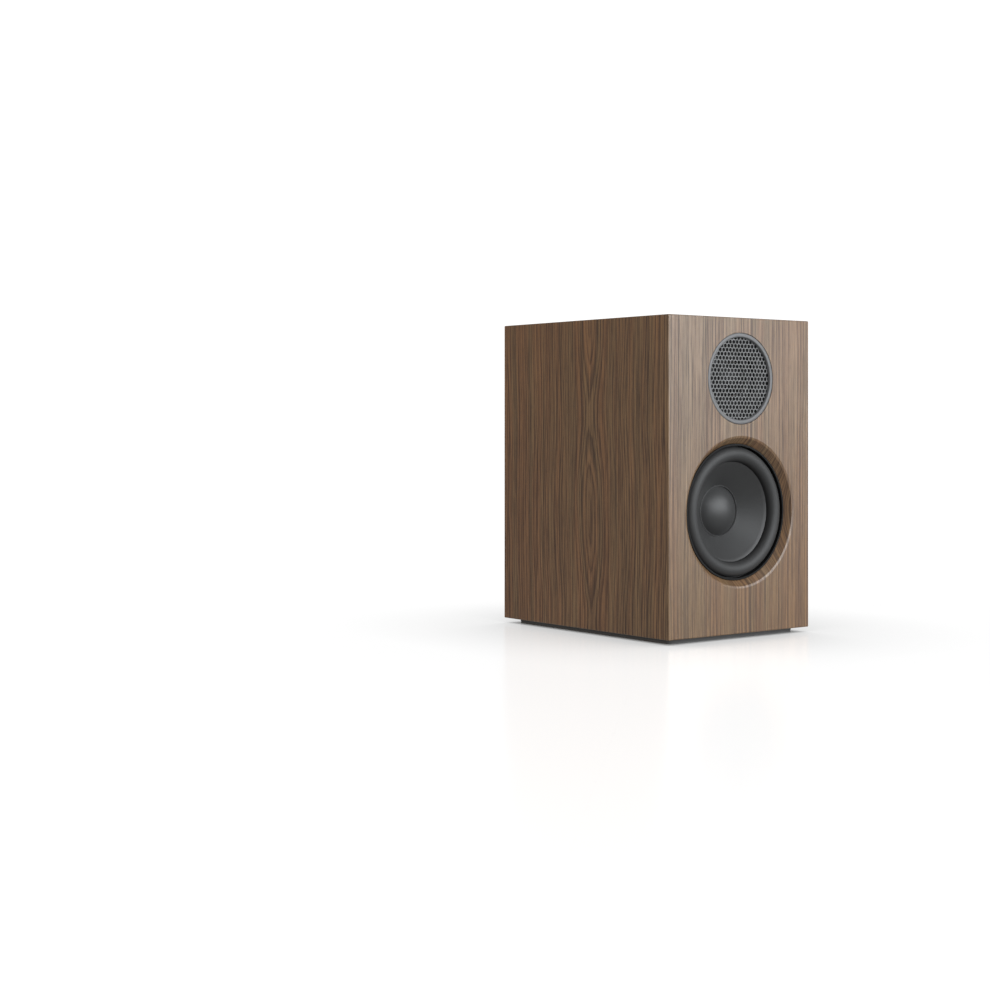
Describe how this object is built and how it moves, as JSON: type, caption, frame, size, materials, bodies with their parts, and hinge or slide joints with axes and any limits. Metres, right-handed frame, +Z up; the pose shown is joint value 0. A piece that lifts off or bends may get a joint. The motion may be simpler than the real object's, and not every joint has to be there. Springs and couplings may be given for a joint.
{
  "type": "bookshelf speaker",
  "caption": "Compact two-way bookshelf speaker: mitred wood cabinet, cone woofer in a bevelled recess, tweeter behind honeycomb mesh, rear port and binding posts.",
  "frame": {"origin": "middle of the footprint, on the surface that the speaker stands on", "axes": "+Z up, the front with the drivers faces -Y, +X to the right as seen from the front"},
  "size_m": [0.15, 0.197, 0.244],
  "materials": {
    "walnut_veneer": "dark oiled wood veneer, vertical grain",
    "fibreboard": "raw medium-density board",
    "rear_lacquer": "black textured coating on board",
    "pad_rubber": "grey-black rubber",
    "seal_foam": "black closed-cell foam",
    "foam": "open-cell acoustic foam",
    "black_screw": "black steel",
    "zinc_screw": "zinc-plated steel",
    "basket": "grey painted die casting",
    "surround_rubber": "matt black rubber",
    "cone_fibre": "dark grey coated cone",
    "cap_fibre": "dark grey coated cap",
    "spider_cloth": "amber phenolic-dipped cloth",
    "former_film": "thin aluminium",
    "copper": "enamelled copper wire",
    "plated_steel": "zinc-plated steel",
    "ferrite": "dark ferrite",
    "neodymium": "nickel-plated magnet",
    "trim_grey": "grey satin",
    "mesh_black": "black perforated steel",
    "faceplate_grey": "grey moulded plastic",
    "carrier_black": "black moulded plastic",
    "dome_cloth": "black coated cloth",
    "port_black": "black moulded plastic",
    "cup_black": "black moulded plastic",
    "post_brass": "gold-coloured plating",
    "black_knob": "black moulded plastic",
    "red_knob": "red moulded plastic",
    "circuit_board": "green laminate",
    "nylon": "natural nylon",
    "bobbin_plastic": "black moulded plastic",
    "film_capacitor": "yellow film wrap",
    "cement": "white cement",
    "wire_jacket": "black insulation"
  },
  "bodies": {
    "cabinet": {"front_baffle": "walnut_veneer", "left_side_panel": "walnut_veneer", "right_side_panel": "walnut_veneer", "top_panel": "walnut_veneer", "bottom_panel": "walnut_veneer", "rear_panel": "rear_lacquer", "rear_panel_cleats": "fibreboard", "rear_panel_gasket": "seal_foam", "rear_panel_screws": "black_screw", "base_pad": "pad_rubber", "damping_foam": "foam", "woofer_frame": "basket", "woofer_gasket": "seal_foam", "woofer_screws": "zinc_screw", "woofer_surround": "surround_rubber", "woofer_spider": "spider_cloth", "woofer_top_plate": "plated_steel", "woofer_magnet": "ferrite", "woofer_back_plate": "plated_steel", "tinsel_leads": "copper", "woofer_terminal_strip": "bobbin_plastic", "driver_terminal_tabs": "post_brass", "tweeter_trim_ring": "trim_grey", "tweeter_mesh": "mesh_black", "tweeter_faceplate": "faceplate_grey", "tweeter_gasket": "seal_foam", "tweeter_screws": "black_screw", "tweeter_surround": "dome_cloth", "tweeter_carrier_ring": "carrier_black", "tweeter_yoke": "plated_steel", "tweeter_pole_plate": "plated_steel", "tweeter_magnet": "neodymium", "tweeter_terminal_board": "bobbin_plastic", "port_tube": "port_black", "port_inner_flare": "port_black", "terminal_cup": "cup_black", "terminal_cup_gasket": "seal_foam", "terminal_cup_screws": "black_screw", "binding_posts": "post_brass", "solder_lugs": "post_brass", "terminal_nuts": "plated_steel", "crossover_board": "circuit_board", "crossover_standoffs": "nylon", "inductor_windings": "copper", "inductor_bobbins": "bobbin_plastic", "capacitors": "film_capacitor", "cement_resistors": "cement", "internal_wiring": "wire_jacket"},
    "woofer_moving": {"woofer_cone": "cone_fibre", "dust_cap": "cap_fibre", "voice_coil_former": "former_film", "voice_coil": "copper"},
    "tweeter_moving": {"tweeter_dome": "dome_cloth", "tweeter_voice_coil": "copper"},
    "black_washer": {"black_clamp_washer": "post_brass"},
    "red_washer": {"red_clamp_washer": "post_brass"},
    "black_knob": {"black_knob": "black_knob", "black_knob_sleeve": "post_brass"},
    "red_knob": {"red_knob": "red_knob", "red_knob_sleeve": "post_brass"}
  },
  "joints": [
    {"name": "woofer_travel", "type": "slide", "parent": "cabinet", "child": "woofer_moving", "axis": [0, 1, 0], "range_m": [-0.004, 0.004], "stiffness_N_per_m": 1250, "deforming": ["woofer_surround", "woofer_spider", "tinsel_leads"]},
    {"name": "tweeter_travel", "type": "slide", "parent": "cabinet", "child": "tweeter_moving", "axis": [0, 1, 0], "range_m": [-0.0003, 0.0003], "stiffness_N_per_m": 30, "deforming": ["tweeter_surround"]},
    {"name": "black_washer_rise", "type": "slide", "parent": "cabinet", "child": "black_washer", "axis": [0, 1, 0], "range_m": [0, 0.0044]},
    {"name": "black_knob_turn", "type": "hinge", "parent": "black_washer", "child": "black_knob", "pos_m": [-0.00953, 0, 0.075], "axis": [0, 1, 0], "range_deg": [0, 1980]},
    {"name": "red_washer_rise", "type": "slide", "parent": "cabinet", "child": "red_washer", "axis": [0, 1, 0], "range_m": [0, 0.0044]},
    {"name": "red_knob_turn", "type": "hinge", "parent": "red_washer", "child": "red_knob", "pos_m": [0.00953, 0, 0.075], "axis": [0, 1, 0], "range_deg": [0, 1980]}
  ],
  "couplings": [
    {"joint": "black_knob_turn", "follows": "black_washer_rise", "rad_per_m": 7854},
    {"joint": "red_knob_turn", "follows": "red_washer_rise", "rad_per_m": 7854}
  ]
}
